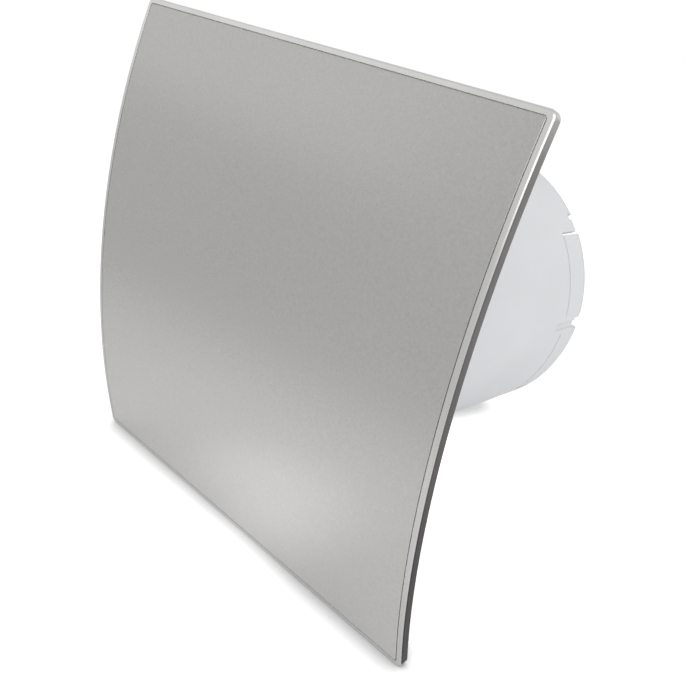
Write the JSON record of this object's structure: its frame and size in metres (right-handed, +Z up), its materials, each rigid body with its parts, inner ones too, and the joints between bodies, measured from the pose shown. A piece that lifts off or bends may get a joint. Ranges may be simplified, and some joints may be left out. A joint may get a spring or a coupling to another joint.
{
  "type": "bathroom extractor fan",
  "caption": "Wall extractor fan with a bowed stainless front panel on a pull-off carrier, slim housing, axial fan, round duct spigot and gravity louvre shutter.",
  "frame": {"origin": "on the duct axis at the wall plane, which is the back face of the housing", "axes": "+X right seen from the room, +Y into the wall along the duct, +Z up"},
  "size_m": [0.158, 0.1191, 0.16],
  "materials": {
    "brushed_steel_sheet": "fine satin",
    "silver_plastic": "bright silver lacquer",
    "adhesive": "matt",
    "white_plastic": "fine spark-eroded satin",
    "cover_plastic": "satin",
    "white_flap_plastic": "satin",
    "grey_fan_plastic": "satin",
    "black_plastic": "satin",
    "grommet_rubber": "matt",
    "terminal_plastic": "satin",
    "brass": "machined",
    "bronze": "sintered",
    "copper": "bright",
    "enamelled_copper": "lacquered winding",
    "zinc_screw": "bright zinc",
    "shaft_steel": "ground",
    "lamination_steel": "varnished laminations",
    "cast_aluminium": "cast",
    "brown_lead": "soft insulation",
    "blue_lead": "soft insulation",
    "nylon_washer": "natural nylon",
    "fuse_sleeve": "woven sleeve"
  },
  "bodies": {
    "housing_body": {"housing": "white_plastic", "spigot": "white_plastic", "motor_carrier": "white_plastic", "terminal_block": "terminal_plastic", "terminal_clamps": "brass", "terminal_screws": "zinc_screw", "terminal_cover": "cover_plastic", "terminal_cover_screw": "zinc_screw", "cord_clamp_bar": "black_plastic", "cord_clamp_screws": "zinc_screw", "cable_grommet": "grommet_rubber", "stator_core": "lamination_steel", "shading_rings": "copper", "coil_bobbin": "black_plastic", "coil_winding": "enamelled_copper", "thermal_fuse": "fuse_sleeve", "front_bearing_bracket": "cast_aluminium", "rear_bearing_bracket": "cast_aluminium", "front_bearing_bush": "bronze", "rear_bearing_bush": "bronze", "motor_screws": "zinc_screw", "lead_live": "brown_lead", "lead_neutral": "blue_lead", "shutter_ring": "white_flap_plastic"},
    "front_panel": {"panel_carrier": "silver_plastic", "adhesive_film": "adhesive", "steel_face": "brushed_steel_sheet"},
    "rotor": {"rotor_core": "lamination_steel", "rotor_cage": "cast_aluminium", "rotor_shaft": "shaft_steel", "thrust_washers": "nylon_washer", "impeller": "grey_fan_plastic", "impeller_clip": "zinc_screw"},
    "upper_louvre": {"louvre_top": "white_flap_plastic"},
    "centre_louvre": {"louvre_middle": "white_flap_plastic"},
    "lower_louvre": {"louvre_bottom": "white_flap_plastic"}
  },
  "joints": [
    {"name": "panel_pull", "type": "slide", "parent": "housing_body", "child": "front_panel", "axis": [0, -1, 0], "range_m": [0, 0.04]},
    {"name": "rotor_spin", "type": "hinge", "parent": "housing_body", "child": "rotor", "pos_m": [0, 0, 0], "axis": [0, 1, 0], "continuous": true},
    {"name": "louvre_top_swing", "type": "hinge", "parent": "housing_body", "child": "upper_louvre", "pos_m": [0, 0.0515, 0.0295], "axis": [1, 0, 0], "range_deg": [0, 75]},
    {"name": "louvre_middle_swing", "type": "hinge", "parent": "housing_body", "child": "centre_louvre", "pos_m": [0, 0.0515, 0.0045], "axis": [1, 0, 0], "range_deg": [0, 75]},
    {"name": "louvre_bottom_swing", "type": "hinge", "parent": "housing_body", "child": "lower_louvre", "pos_m": [0, 0.0515, -0.0205], "axis": [1, 0, 0], "range_deg": [0, 75]}
  ]
}
